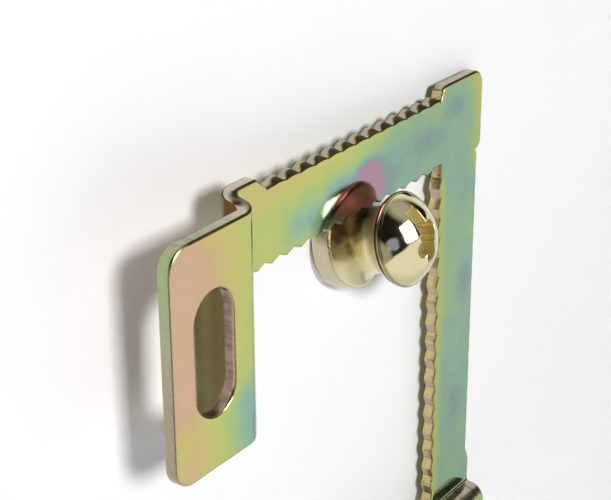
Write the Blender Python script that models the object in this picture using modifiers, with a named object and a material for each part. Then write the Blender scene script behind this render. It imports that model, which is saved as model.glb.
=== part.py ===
"""Plasterboard picture screw with its toothed hanger plate.

Four separate pieces: a nylon wall plug, a grooved spool that is captive on the
screw, the dome-headed screw itself, and the sheet-metal plate that hangs in the
groove. Metres, +Z up, the wall lies behind the part on the +Y side. The screw
leaves the wall at an upward slant and the plate hangs upright.
"""
import math

import bmesh
import bpy
from mathutils import Matrix, Vector

MM = 0.001

# Screw axis
SLANT = math.radians(15.0)

# Spool: rear flange, hollow groove, bore for the shank
RIM_RADIUS = 3.35 * MM
FLANGE_THICKNESS = 1.5 * MM
GROOVE_LENGTH = 3.8 * MM
GROOVE_DEPTH = 0.87 * MM
RIM_CHAMFER = 0.12 * MM
BORE_CLEARANCE = 0.1 * MM
SEAT_GAP = 0.1 * MM

# Screw: head, shank, thread
LIP_HEIGHT = 0.5 * MM
DOME_HEIGHT = 1.75 * MM
SHANK_RADIUS = 1.5 * MM
SHANK_LENGTH_IN_WALL = 3.0 * MM
THREAD_ROOT_RADIUS = 1.3 * MM
THREAD_CREST_RADIUS = 2.0 * MM
THREAD_PITCH = 1.5 * MM
THREAD_TURNS = 14
POINT_LENGTH = 3.0 * MM

# Driver recess: one long slot crossed by two short wings
SLOT_HALF_LENGTH = 2.6 * MM
WING_HALF_LENGTH = 1.45 * MM
RECESS_WIDTH = 1.1 * MM
SLOT_DEPTH = 1.2 * MM
WING_DEPTH = 1.7 * MM
SLOT_TURN = math.radians(13.0)

# Wall plug
PLUG_RADIUS = 3.0 * MM
PLUG_LENGTH = 30.0 * MM
PLUG_MOUTH_GAP = 0.3 * MM
PLUG_THREAD_CLEARANCE = 0.15 * MM
PLUG_BARBS = 5
PLUG_BARB_HEIGHT = 0.35 * MM
PLUG_COLLAR_LENGTH = 5.0 * MM
PLUG_TIP_LENGTH = 4.0 * MM
PLUG_SLIT_WIDTH = 0.8 * MM

# Hanger plate, measured from the inner corner where its two toothed bars meet
SHEET = 1.0 * MM
TOOTH_PITCH = 1.6 * MM
INNER_TOOTH_DEPTH = 0.33 * MM
TOP_BAR_TEETH = 15
TOP_BAR_ROOT = 5.25 * MM
TOP_OUTER_TOOTH_DEPTH = 0.38 * MM
TOP_LAND = 6.3 * MM
SIDE_BAR_TEETH = 18
SIDE_BAR_ROOT = 5.4 * MM
SIDE_OUTER_TOOTH_DEPTH = 0.16 * MM
SIDE_LAND = 6.05 * MM
BEND_INNER_RADIUS = 0.25 * MM
JOG_OFFSET = 1.84 * MM
END_MARGIN = 0.25 * MM
TAB_WIDTH = 8.7 * MM
TAB_TOP = 5.6 * MM
TAB_LENGTH = 15.8 * MM
TAB_CORNER = 1.5 * MM
EAR_CORNER = 1.2 * MM
SLOT_WIDTH = 3.9 * MM
SLOT_LENGTH = 8.4 * MM
SLOT_FROM_TAB_TOP = 3.75 * MM
SLOT_FROM_TAB_EDGE = 4.05 * MM
RETURN_DEPTH = 4.8 * MM
RETURN_CORNER = 0.8 * MM
RETURN_INSET = 0.8 * MM
RETURN_DROP = 0.2 * MM
RELIEF_SLIT = 0.15 * MM
NECK_TEETH_FROM_CORNER = 5.5
HANG_OFFSET = -0.2 * MM
HANG_CLEARANCE = 0.2 * MM

SEGMENTS = 40

# Values that follow from the sizes above
GROOVE_START = FLANGE_THICKNESS
GROOVE_MIDDLE = GROOVE_START + GROOVE_LENGTH / 2
SPOOL_LENGTH = FLANGE_THICKNESS + GROOVE_LENGTH
SPOOL_BORE_RADIUS = SHANK_RADIUS + BORE_CLEARANCE
GROOVE_RIM_RADIUS = RIM_RADIUS - RIM_CHAMFER
GROOVE_ARC = ((GROOVE_LENGTH / 2) ** 2 + GROOVE_DEPTH ** 2) / (2 * GROOVE_DEPTH)
HEAD_START = SPOOL_LENGTH + SEAT_GAP
DOME_START = HEAD_START + LIP_HEIGHT
HEAD_TOP = DOME_START + DOME_HEIGHT
DOME_BASE_RADIUS = RIM_RADIUS - RIM_CHAMFER
DOME_SPHERE = (DOME_BASE_RADIUS ** 2 + DOME_HEIGHT ** 2) / (2 * DOME_HEIGHT)
THREAD_TOP = -SHANK_LENGTH_IN_WALL
THREAD_LENGTH = THREAD_TURNS * THREAD_PITCH
POINT_START = THREAD_TOP - THREAD_LENGTH - THREAD_PITCH
PLUG_MOUTH = -PLUG_MOUTH_GAP
PLUG_BORE_RADIUS = THREAD_CREST_RADIUS + PLUG_THREAD_CLEARANCE
BEND_MID_RADIUS = BEND_INNER_RADIUS + SHEET / 2
BEND_LENGTH = BEND_MID_RADIUS * math.pi / 2
WEB_LENGTH = JOG_OFFSET - 2 * BEND_MID_RADIUS
JOG_FLAT_LENGTH = 2 * BEND_LENGTH + WEB_LENGTH
TAB_FLAT_WIDTH = TAB_WIDTH - BEND_MID_RADIUS - SHEET / 2
SLOT_FROM_JOG = TAB_WIDTH - SLOT_FROM_TAB_EDGE - BEND_MID_RADIUS - SHEET / 2
RETURN_LENGTH = RETURN_DEPTH - SHEET / 2 - BEND_MID_RADIUS
SLOT_CENTRE_ACROSS = TAB_TOP - SLOT_FROM_TAB_TOP - SLOT_LENGTH / 2
TOP_BAR = (TOP_BAR_TEETH, TOP_BAR_ROOT, TOP_OUTER_TOOTH_DEPTH, TOP_LAND, SIDE_LAND)
SIDE_BAR = (SIDE_BAR_TEETH, SIDE_BAR_ROOT, SIDE_OUTER_TOOTH_DEPTH, SIDE_LAND, TOP_LAND)


def clear_scene():
    for obj in list(bpy.data.objects):
        bpy.data.objects.remove(obj, do_unlink=True)


def make_collection(name):
    col = bpy.data.collections.new(name)
    bpy.context.scene.collection.children.link(col)
    return col


def make_material(name, colour, roughness, metallic):
    mat = bpy.data.materials.new(name)
    mat.use_nodes = True
    shader = mat.node_tree.nodes["Principled BSDF"]
    shader.inputs["Base Color"].default_value = (*colour, 1.0)
    shader.inputs["Roughness"].default_value = roughness
    shader.inputs["Metallic"].default_value = metallic
    return mat


def link_mesh(name, mesh, col, mat=None):
    obj = bpy.data.objects.new(name, mesh)
    col.objects.link(obj)
    if mat:
        obj.data.materials.append(mat)
    return obj


def baked(obj):
    """The object's mesh with its modifiers applied."""
    graph = bpy.context.evaluated_depsgraph_get()
    mesh = bpy.data.meshes.new_from_object(obj.evaluated_get(graph), depsgraph=graph)
    bm = bmesh.new()
    bm.from_mesh(mesh)
    bmesh.ops.remove_doubles(bm, verts=bm.verts, dist=0.00001)
    bmesh.ops.recalc_face_normals(bm, faces=bm.faces)
    bm.to_mesh(mesh)
    bm.free()
    return mesh


def turned(name, profile, col, segments=SEGMENTS):
    """A body turned about local Z from (radius, height) points, first and last joined if hollow."""
    mesh = bpy.data.meshes.new(name)
    verts = [(r, 0.0, z) for r, z in profile]
    edges = [(i, i + 1) for i in range(len(verts) - 1)]
    if profile[0][0] > 0.0:
        edges.append((len(verts) - 1, 0))
    mesh.from_pydata(verts, edges, [])
    obj = link_mesh(name, mesh, col)
    mod = obj.modifiers.new("turn", "SCREW")
    mod.axis = "Z"
    mod.steps = segments
    mod.render_steps = segments
    mod.use_merge_vertices = True
    mod.merge_threshold = 0.00001
    mod.use_normal_calculate = True
    obj.data = baked(obj)
    obj.modifiers.clear()
    return obj


def combine(obj, other, operation):
    mod = obj.modifiers.new(operation.lower(), "BOOLEAN")
    mod.operation = operation
    mod.solver = "EXACT"
    mod.object = other
    obj.data = baked(obj)
    obj.modifiers.clear()
    bpy.data.objects.remove(other, do_unlink=True)


def block(name, size, centre, turn, col):
    """A box of the given size, set at centre and turned about Z."""
    mesh = bpy.data.meshes.new(name)
    bm = bmesh.new()
    bmesh.ops.create_cube(bm, size=1.0)
    bmesh.ops.scale(bm, vec=Vector(size), verts=bm.verts)
    bmesh.ops.translate(bm, vec=Vector(centre), verts=bm.verts)
    bmesh.ops.rotate(bm, cent=(0.0, 0.0, 0.0), matrix=Matrix.Rotation(turn, 3, "Z"), verts=bm.verts)
    bm.to_mesh(mesh)
    bm.free()
    return link_mesh(name, mesh, col)


def smooth(obj, angle=35.0):
    for poly in obj.data.polygons:
        poly.use_smooth = True
    obj.data.set_sharp_from_angle(angle=math.radians(angle))


def groove_radius(station):
    """Radius of the groove's floor at a distance along the screw axis."""
    offset = min(abs(station - GROOVE_MIDDLE), GROOVE_LENGTH / 2)
    drop = math.sqrt(GROOVE_ARC ** 2 - offset ** 2) - (GROOVE_ARC - GROOVE_DEPTH)
    return GROOVE_RIM_RADIUS - drop


def spool_profile():
    points = [(SPOOL_BORE_RADIUS, 0.0)]
    points.append((RIM_RADIUS - RIM_CHAMFER, 0.0))
    points.append((RIM_RADIUS, RIM_CHAMFER))
    points.append((RIM_RADIUS, FLANGE_THICKNESS - RIM_CHAMFER))
    steps = 12
    for i in range(steps + 1):
        station = GROOVE_START + GROOVE_LENGTH * i / steps
        points.append((groove_radius(station), station))
    points.append((SPOOL_BORE_RADIUS, SPOOL_LENGTH))
    return points


def screw_profile():
    points = [(0.0, POINT_START - POINT_LENGTH)]
    points.append((THREAD_ROOT_RADIUS, POINT_START))
    points.append((THREAD_ROOT_RADIUS, THREAD_TOP - THREAD_PITCH / 4))
    points.append((SHANK_RADIUS, THREAD_TOP))
    points.append((SHANK_RADIUS, HEAD_START))
    points.append((RIM_RADIUS - RIM_CHAMFER, HEAD_START))
    points.append((RIM_RADIUS, HEAD_START + RIM_CHAMFER))
    points.append((RIM_RADIUS, DOME_START - RIM_CHAMFER))
    steps = 9
    reach = math.asin(DOME_BASE_RADIUS / DOME_SPHERE)
    for i in range(steps):
        angle = reach * (1.0 - i / steps)
        height = HEAD_TOP - DOME_SPHERE * (1.0 - math.cos(angle))
        points.append((DOME_SPHERE * math.sin(angle), height))
    points.append((0.0, HEAD_TOP))
    return points


def thread_ridge(col):
    """The helical ridge, its root sunk into the core so that the two join."""
    sunk = THREAD_ROOT_RADIUS * 0.8
    half = THREAD_PITCH * 0.36
    crest = THREAD_PITCH * 0.05
    start = THREAD_TOP - THREAD_PITCH / 2 - THREAD_LENGTH
    loop = [(sunk, -half), (THREAD_CREST_RADIUS, -crest), (THREAD_CREST_RADIUS, crest), (sunk, half)]
    mesh = bpy.data.meshes.new("thread")
    verts = [(r, 0.0, start + z) for r, z in loop]
    mesh.from_pydata(verts, [(0, 1), (1, 2), (2, 3), (3, 0)], [])
    obj = link_mesh("thread", mesh, col)
    mod = obj.modifiers.new("wind", "SCREW")
    mod.axis = "Z"
    mod.screw_offset = THREAD_PITCH
    mod.iterations = THREAD_TURNS
    mod.steps = 12
    mod.render_steps = 12
    obj.data = baked(obj)
    obj.modifiers.clear()
    bm = bmesh.new()
    bm.from_mesh(obj.data)
    bmesh.ops.holes_fill(bm, edges=[e for e in bm.edges if e.is_boundary], sides=0)
    bmesh.ops.recalc_face_normals(bm, faces=bm.faces)
    bm.to_mesh(obj.data)
    bm.free()
    return obj


def plug_profile():
    end = PLUG_MOUTH - PLUG_LENGTH
    ribbed = PLUG_LENGTH - PLUG_COLLAR_LENGTH - PLUG_TIP_LENGTH
    points = [(PLUG_BORE_RADIUS, PLUG_MOUTH), (PLUG_BORE_RADIUS, end)]
    points.append((PLUG_BORE_RADIUS + PLUG_BARB_HEIGHT, end))
    low = end + PLUG_TIP_LENGTH
    for i in range(PLUG_BARBS):
        points.append((PLUG_RADIUS, low + ribbed * i / PLUG_BARBS))
        points.append((PLUG_RADIUS - PLUG_BARB_HEIGHT, low + ribbed * (i + 0.15) / PLUG_BARBS))
    points.append((PLUG_RADIUS, PLUG_MOUTH - PLUG_COLLAR_LENGTH))
    points.append((PLUG_RADIUS, PLUG_MOUTH))
    return list(reversed(points))


def rounded(points):
    """Points of a path whose (x, y, radius) corners are replaced by short arcs."""
    out = []
    count = len(points)
    for i, (x, y, radius) in enumerate(points):
        here = Vector((x, y))
        if radius <= 0.0 or i == 0 or i == count - 1:
            out.append(here)
            continue
        to_last = (Vector(points[i - 1][:2]) - here).normalized()
        to_next = (Vector(points[i + 1][:2]) - here).normalized()
        spread = to_last.angle(to_next)
        reach = radius / math.tan(spread / 2)
        centre = here + (to_last + to_next).normalized() * (radius / math.sin(spread / 2))
        first = here + to_last * reach - centre
        last = here + to_next * reach - centre
        turn = first.angle_signed(last)
        for k in range(5):
            part = Matrix.Rotation(-turn * k / 4, 2) @ first
            out.append(centre + part)
    return out


def bend_start(teeth):
    """Where the fold begins on a bar that carries so many inner teeth."""
    return -(teeth * TOOTH_PITCH + END_MARGIN)


def half_outline(teeth, outer_root, outer_depth, land, far_land):
    """One bar of the plate with its tab, from the inner corner round to the outer corner."""
    root = INNER_TOOTH_DEPTH
    points = [(root, root, 0.0)]
    for i in range(teeth):
        points.append((-(i + 0.5) * TOOTH_PITCH, root, 0.0))
        points.append((-(i + 1) * TOOTH_PITCH, 0.0, 0.0))
    start = bend_start(teeth)
    slit_end = start - BEND_LENGTH - WEB_LENGTH / 2
    slit_low = root - RELIEF_SLIT
    return_edge = start - BEND_LENGTH - WEB_LENGTH + RETURN_LENGTH
    tab_side = start - JOG_FLAT_LENGTH
    tab_end = tab_side - TAB_FLAT_WIDTH
    tab_foot = TAB_TOP - TAB_LENGTH
    points.append((start, root, 0.0))
    points.append((slit_end, root, 0.0))
    points.append((slit_end, slit_low, 0.0))
    points.append((start - RELIEF_SLIT, slit_low, 0.0))
    points.append((start + RELIEF_SLIT, -RETURN_DROP, 0.0))
    points.append((return_edge, -RETURN_DROP, 0.0))
    points.append((return_edge, tab_foot + RETURN_INSET, RETURN_CORNER))
    points.append((tab_side + BEND_LENGTH, tab_foot + RETURN_INSET, 0.0))
    points.append((tab_side, tab_foot, 0.0))
    points.append((tab_end, tab_foot, TAB_CORNER))
    points.append((tab_end, TAB_TOP, TAB_CORNER))
    points.append((tab_side, TAB_TOP, 0.0))
    points.append((start, land, 0.0))
    outer = teeth - 1
    first = -outer * TOOTH_PITCH
    points.append((first - TOOTH_PITCH / 4, land, TOOTH_PITCH / 6))
    points.append((first, outer_root, 0.0))
    for i in range(outer):
        for k in range(1, 5):
            swell = math.sin(math.pi * k / 5) ** 0.8
            along = first + TOOTH_PITCH * (i + k / 5)
            points.append((along, outer_root + outer_depth * swell, 0.0))
        points.append((first + TOOTH_PITCH * (i + 1), outer_root, 0.0))
    points.append((TOOTH_PITCH / 6, land, TOOTH_PITCH / 3))
    points.append((far_land, land, 0.0))
    return rounded(points)


def plate_outline():
    """The whole blank: the top bar, and the side bar laid out as its mirror about the diagonal."""
    one = half_outline(*TOP_BAR)
    two = [Vector((p.y, p.x)) for p in reversed(half_outline(*SIDE_BAR))]
    before = one[-2]
    after = two[1]
    ear = rounded([(*before, 0.0), (SIDE_LAND, TOP_LAND, EAR_CORNER), (*after, 0.0)])
    return one[:-1] + ear[1:-1] + two[1:-1]


def slot_outline(teeth, swap):
    """The obround hole in the middle of a tab, its long way along the fold."""
    along = bend_start(teeth) - JOG_FLAT_LENGTH - SLOT_FROM_JOG
    across = SLOT_CENTRE_ACROSS
    radius = SLOT_WIDTH / 2
    straight = SLOT_LENGTH / 2 - radius
    points = []
    for i in range(24):
        angle = 2 * math.pi * (i + 0.5) / 24
        side = straight if math.sin(angle) > 0.0 else -straight
        x = along + radius * math.cos(angle)
        y = across + radius * math.sin(angle) + side
        points.append(Vector((y, x)) if swap else Vector((x, y)))
    return points


def on_return(along, across, start):
    """Whether a point of the blank is on the tab's return, below the relief slit."""
    if along > start + RETURN_LENGTH:
        return False
    if along > start:
        return across < -RETURN_DROP / 2
    return across < INNER_TOOTH_DEPTH - RELIEF_SLIT / 2


def fold(along, front, across, start):
    """Where a point of the blank goes when its tab is jogged forward, as (along, forward)."""
    run = start - along
    radius = BEND_MID_RADIUS
    if on_return(along, across, start) and run <= BEND_LENGTH + WEB_LENGTH:
        return start - radius + front, radius + run - BEND_LENGTH
    if run <= 0.0:
        return along, front
    if run <= BEND_LENGTH:
        angle = run / radius
        return (
            start - (radius - front) * math.sin(angle),
            radius - (radius - front) * math.cos(angle),
        )
    if run <= BEND_LENGTH + WEB_LENGTH:
        return start - radius + front, radius + run - BEND_LENGTH
    if run <= JOG_FLAT_LENGTH:
        angle = (run - BEND_LENGTH - WEB_LENGTH) / radius
        return (
            start - 2 * radius + (radius + front) * math.cos(angle),
            radius + WEB_LENGTH + (radius + front) * math.sin(angle),
        )
    return start - 2 * radius - (run - JOG_FLAT_LENGTH), JOG_OFFSET + front


def sheet_plate(name, col):
    """The plate: a filled blank with holes, cut at its bend lines and folded."""
    curve = bpy.data.curves.new(name, "CURVE")
    curve.dimensions = "2D"
    curve.fill_mode = "BOTH"
    curve.extrude = SHEET / 2
    loops = [plate_outline()]
    loops.append(slot_outline(TOP_BAR_TEETH, False))
    loops.append(slot_outline(SIDE_BAR_TEETH, True))
    for loop in loops:
        spline = curve.splines.new("POLY")
        spline.points.add(len(loop) - 1)
        for point, place in zip(spline.points, loop):
            point.co = (place.x, place.y, 0.0, 1.0)
        spline.use_cyclic_u = True
    flat = bpy.data.objects.new(name, curve)
    col.objects.link(flat)
    mesh = baked(flat)
    bpy.data.objects.remove(flat, do_unlink=True)
    bm = bmesh.new()
    bm.from_mesh(mesh)
    left = bend_start(TOP_BAR_TEETH)
    foot = bend_start(SIDE_BAR_TEETH)
    runs = [BEND_LENGTH * i / 4 for i in range(5)]
    runs += [BEND_LENGTH + WEB_LENGTH + BEND_LENGTH * i / 4 for i in range(5)]
    for start, normal in ((left, Vector((1.0, 0.0, 0.0))), (foot, Vector((0.0, 1.0, 0.0)))):
        for run in runs:
            geom = bm.verts[:] + bm.edges[:] + bm.faces[:]
            place = normal * (start - run)
            bmesh.ops.bisect_plane(bm, geom=geom, dist=1e-7, plane_co=place, plane_no=normal)
    for vert in bm.verts:
        x, y, front = vert.co
        if x < left or on_return(x, y, left):
            x, forward = fold(x, front, y, left)
        elif y < foot or on_return(y, x, foot):
            y, forward = fold(y, front, x, foot)
        else:
            forward = front
        vert.co = (x, -forward, y)
    bmesh.ops.remove_doubles(bm, verts=bm.verts, dist=0.000001)
    bmesh.ops.recalc_face_normals(bm, faces=bm.faces)
    bm.to_mesh(mesh)
    bm.free()
    return link_mesh(name, mesh, col)


def hang_place():
    """Pivot of the plate on the screw axis and the height of its tooth tips above that pivot."""
    station = GROOVE_MIDDLE + HANG_OFFSET
    middle = -station * math.cos(SLANT) + groove_radius(station) * math.sin(SLANT)
    pivot = Vector((0.0, middle, -middle * math.tan(SLANT)))
    top = -1.0
    for i in range(401):
        along = GROOVE_START + GROOVE_LENGTH * i / 400
        radius = groove_radius(along)
        rise = math.sqrt(radius ** 2 - (TOOTH_PITCH / 2) ** 2)
        y = -along * math.cos(SLANT) + rise * math.sin(SLANT)
        if abs(y - middle) <= SHEET / 2:
            top = max(top, along * math.sin(SLANT) + rise * math.cos(SLANT))
    return pivot, top + HANG_CLEARANCE - pivot.z


clear_scene()
parts = make_collection("plasterboard_picture_screw")
nylon = make_material("nylon", (0.72, 0.71, 0.67), 0.5, 0.0)
spool_brass = make_material("spool_brass", (0.78, 0.68, 0.42), 0.22, 1.0)
screw_brass = make_material("screw_brass", (0.80, 0.72, 0.48), 0.18, 1.0)
chromate = make_material("chromated_steel", (0.55, 0.62, 0.40), 0.25, 1.0)

axis = bpy.data.objects.new("screw_axis", None)
parts.objects.link(axis)
axis.rotation_euler = (math.pi / 2 - SLANT, 0.0, 0.0)

plug = turned("wall_plug", plug_profile(), parts, 32)
slit_top = PLUG_MOUTH - PLUG_COLLAR_LENGTH
slit_foot = PLUG_MOUTH - PLUG_LENGTH + PLUG_TIP_LENGTH
slit_size = (PLUG_RADIUS * 4, PLUG_SLIT_WIDTH, slit_top - slit_foot)
slit_place = (0.0, 0.0, (slit_top + slit_foot) / 2)
combine(plug, block("slit", slit_size, slit_place, 0.0, parts), "DIFFERENCE")
plug.data.materials.clear()
plug.data.materials.append(nylon)
smooth(plug)
plug.parent = axis

spool = turned("spool_sleeve", spool_profile(), parts)
spool.data.materials.append(spool_brass)
smooth(spool)
spool.parent = axis

screw = turned("picture_screw", screw_profile(), parts)
combine(screw, thread_ridge(parts), "UNION")
slot_size = (RECESS_WIDTH, SLOT_HALF_LENGTH * 2, SLOT_DEPTH * 2)
combine(screw, block("slot", slot_size, (0.0, 0.0, HEAD_TOP), SLOT_TURN, parts), "DIFFERENCE")
wing_size = (WING_HALF_LENGTH * 2, RECESS_WIDTH, WING_DEPTH * 2)
combine(screw, block("wing", wing_size, (0.0, 0.0, HEAD_TOP), SLOT_TURN, parts), "DIFFERENCE")
screw.data.materials.clear()
screw.data.materials.append(screw_brass)
smooth(screw)
screw.parent = axis

plate = sheet_plate("hanger_plate", parts)
pivot, tip_height = hang_place()
corner = Vector((NECK_TEETH_FROM_CORNER * TOOTH_PITCH, 0.0, tip_height))
plate.data.transform(Matrix.Translation(corner))
plate.location = pivot
plate.data.materials.append(chromate)
smooth(plate)
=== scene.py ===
"""Picture screw with its hanger plate: finer visible pieces, materials, light and camera."""

import math
from collections import namedtuple

import bmesh
import bpy
from mathutils import Matrix, Vector


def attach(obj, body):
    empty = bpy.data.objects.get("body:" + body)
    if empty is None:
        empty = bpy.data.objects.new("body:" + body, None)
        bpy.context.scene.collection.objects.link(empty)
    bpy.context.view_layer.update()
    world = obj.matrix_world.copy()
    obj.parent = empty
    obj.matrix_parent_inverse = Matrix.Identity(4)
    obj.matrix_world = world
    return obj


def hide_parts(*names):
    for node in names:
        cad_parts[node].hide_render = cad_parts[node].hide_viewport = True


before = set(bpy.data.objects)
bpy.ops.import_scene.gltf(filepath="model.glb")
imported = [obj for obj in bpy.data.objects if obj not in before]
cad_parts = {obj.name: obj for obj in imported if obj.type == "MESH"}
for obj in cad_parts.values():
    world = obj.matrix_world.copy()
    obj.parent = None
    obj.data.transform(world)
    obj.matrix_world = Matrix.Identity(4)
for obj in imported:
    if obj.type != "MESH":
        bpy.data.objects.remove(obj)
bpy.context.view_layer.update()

# Metres in a millimetre, and within how many millimetres points are one, or level with a face
MM = 0.001
WELD = 1e-4
SLACK = 1e-3

# The screw, spool and plug stand on one axis that leaves the wall at a slant
SLANT = math.radians(15.0)
AXIS = Matrix.Rotation(math.pi / 2 - SLANT, 4, "X")
OUTWARD = AXIS.to_3x3() @ Vector((0.0, 0.0, 1.0))

# Spool; its sizes and all others above the stage's are in millimetres
RIM = 3.35
FLANGE = 1.5
FLANGE_REAR_ROUND = 0.16
FLANGE_FRONT_ROUND = 0.1
GROOVE = 3.8
GROOVE_DEPTH = 0.87
GROOVE_STEP = 0.02
CHAMFER = 0.12
BORE = 1.6

# Head, shank and thread of the screw
HEAD_START = 5.4
LIP = 0.5
LIP_ARC = math.radians(147.0)
EDGE_LOOK = 0.12
DOME = 1.75
SHANK = 1.5
THREAD_TOP = -3.0
THREAD_ROOT = 1.3
THREAD_SUNK = THREAD_ROOT * 0.9
THREAD_CREST = 2.0
THREAD_FLANK = 0.5
THREAD_FLAT = 0.08
PITCH = 1.5
TURNS = 14
POINT = 3.0
POINT_ROUND = 0.3

# Driver recess: a slot crossed by two short wings, each with a round pit
SLOT_UP = 2.3
SLOT_DOWN = 1.6
SLOT_DEPTH = 1.2
SLOT_TURN = math.radians(13.0)
RECESS_WIDTH = 1.1
WING_HALF = 0.78
WING_DEPTH = 1.7
PIT_RADIUS = 0.6
PIT_OFFSET = 0.4

# Plug
PLUG_RADIUS = 3.0
PLUG_LENGTH = 30.0
PLUG_MOUTH = -0.3
PLUG_MOUTH_ROUND = 0.2
PLUG_END_ROUND = 0.15
PLUG_BORE = 2.15
PLUG_COLLAR = 5.0
PLUG_TIP = 4.0
BARBS = 5
BARB = 0.35
BARB_RISE = 0.15
BARB_TOP_ROUND = 0.12
BARB_FOOT_ROUND = 0.1
SLIT = 0.8

# Toothed bars of the plate; CORNER is where the lines of both inner rows' tips meet
Bar = namedtuple("Bar", "teeth outer_root outer_depth land far_land")
TOP_BAR = Bar(15, 5.25, 0.38, 6.3, 6.05)
SIDE_BAR = Bar(18, 5.4, 0.16, 6.05, 6.3)
CORNER = Vector((8.8, -2.478, 3.311))
SHEET = 1.0
TOOTH = 1.6
INNER_DEPTH = 0.33
INNER_ROUND = 0.12
OUTER_SWELL = 0.8
LAND_SLOPE = 1.1
LAND_ROUND = TOOTH / 6
FOOT_LIFT = 0.1
EAR_START = TOOTH / 6
EAR_ROUND = TOOTH / 3
EAR_CORNER = 1.2
EDGE_ROUND = 0.17
ROLL_START = 0.06
ROLL_SHARE = 0.8
ROLL_LEVEL = 0.05

# Jogged tabs of the plate, their slots and returns
BEND = 0.75
JOG = 1.84
END_MARGIN = 0.25
TAB_WIDTH = 8.7
TAB_TOP = 5.6
TAB_LENGTH = 15.8
TAB_CORNER = 1.5
HOLE_WIDTH = 3.9
HOLE_LENGTH = 8.4
HOLE_FROM_TOP = 3.75
HOLE_FROM_EDGE = 4.05
RETURN_DEPTH = 4.8
RETURN_CORNER = 0.5
RETURN_INSET = 0.3
RETURN_DROP = 0.2
RELIEF = 0.15

# Sizes that follow from those above
HEAD_TOP = HEAD_START + LIP + DOME
DOME_BASE = RIM - CHAMFER
SPHERE = (DOME_BASE ** 2 + DOME ** 2) / (2 * DOME)
DOME_CENTRE = AXIS @ Vector((0.0, 0.0, HEAD_TOP - SPHERE))
BEND_LENGTH = BEND * math.pi / 2
WEB = JOG - 2 * BEND
JOG_FLAT = 2 * BEND_LENGTH + WEB
RETURN_LENGTH = RETURN_DEPTH - SHEET / 2 - BEND

# How finely round forms are cut
TURNED_SEGMENTS = 128
PLUG_SEGMENTS = 64
CORNER_STEPS = 6
GROOVE_STEPS = 40
LIP_STEPS = 16
DOME_STEPS = 32
THREAD_STEPS = 28
FADE_STEPS = 14
TOOTH_STEPS = 8
BEND_STEPS = 8
EAR_STEPS = 10
HOLE_STEPS = 48

# Colours, each a darker and a lighter tone
BRASS = ((0.74, 0.66, 0.38), (0.78, 0.71, 0.44))
# Brass of the screw's recess, paler as painted light against the recess's shade
LIT_RECESS_BRASS = ((0.73, 0.63, 0.35), (0.87, 0.78, 0.48))
# Painted shade: dark brass for the screw's lip and all below it
SHADED_LIP_BRASS = ((0.36, 0.29, 0.15), (0.5, 0.42, 0.23))
# Painted shade: greyer, darker brass for the spool flange's rim
SHADED_RIM_BRASS = ((0.52, 0.46, 0.32), (0.6, 0.54, 0.38))
# A very dark tone mixed into the plate's faces, more towards the right
DARKER_FACE = ((0.1, 0.12, 0.04), (0.15, 0.16, 0.07))
BEND_EDGE = ((0.5, 0.43, 0.33), (0.62, 0.56, 0.42))
TOOTH_EDGE = ((0.34, 0.41, 0.26), (0.52, 0.42, 0.31))
# Painted shade: near black along the outer teeth's rolled front edges
ROLL_SHADE = ((0.035, 0.025, 0.007), (0.085, 0.062, 0.02))
# Painted shade: dark olive for the return behind the tab
SHADED_OLIVE = ((0.14, 0.115, 0.045), (0.28, 0.24, 0.11))
# Painted shade: dark red-brown for the web above the return
RED_BROWN_SHADE = ((0.085, 0.042, 0.012), (0.155, 0.072, 0.028))
# The slot's wall: pinkish tones of the cut metal, darkened as painted shade
SHADED_CUT_WALL = ((0.14, 0.09, 0.07), (0.36, 0.25, 0.2))
NYLON = ((0.66, 0.65, 0.61), (0.76, 0.75, 0.72))
WALL_WHITE = ((0.88, 0.88, 0.88), (0.9, 0.9, 0.9))
FLOOR_WHITE = ((0.86, 0.86, 0.86), (0.89, 0.89, 0.89))

# Single colours
MIRRORED_WALL = (0.42, 0.41, 0.39, 1.0)
WHITE = (1.0, 1.0, 1.0, 1.0)
SKY = (0.75, 0.9, 1.5, 1.0)

# Colours that run through several tones, each at its place from 0 to 1
# Painted shade on the spool's groove: dark brown where plate and head shade its top, pale brass below
SHADED_GROOVE = (
    (0.05, (0.13, 0.08, 0.03)),
    (0.2, (0.32, 0.22, 0.08)),
    (0.42, (0.54, 0.42, 0.15)),
    (0.65, (0.66, 0.57, 0.27)),
    (0.9, (0.74, 0.67, 0.42)),
)
FILM = (
    (0.0, (0.68, 0.45, 0.32)),
    (0.12, (0.64, 0.44, 0.26)),
    (0.24, (0.62, 0.51, 0.2)),
    (0.35, (0.57, 0.56, 0.17)),
    (0.46, (0.48, 0.57, 0.18)),
    (0.57, (0.37, 0.54, 0.25)),
    (0.69, (0.28, 0.48, 0.36)),
    (0.8, (0.25, 0.39, 0.36)),
    (0.88, (0.31, 0.32, 0.37)),
    (0.95, (0.46, 0.25, 0.34)),
    (1.0, (0.44, 0.26, 0.34)),
)
# Sheared edges: pink and yellow streaks of the metal's own, and dark tones as painted shade on edges that
# face up
SHEARED_AND_SHADED = (
    (0.15, (0.56, 0.38, 0.3)),
    (0.4, (0.5, 0.38, 0.25)),
    (0.78, (0.62, 0.52, 0.25)),
    (0.88, (0.18, 0.14, 0.07)),
    (0.93, (0.28, 0.23, 0.13)),
    (1.0, (0.43, 0.4, 0.29)),
)
WEATHERED = (
    (0.1, (0.36, 0.32, 0.22)),
    (0.6, (0.4, 0.37, 0.27)),
    (0.95, (0.34, 0.42, 0.2)),
)

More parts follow.
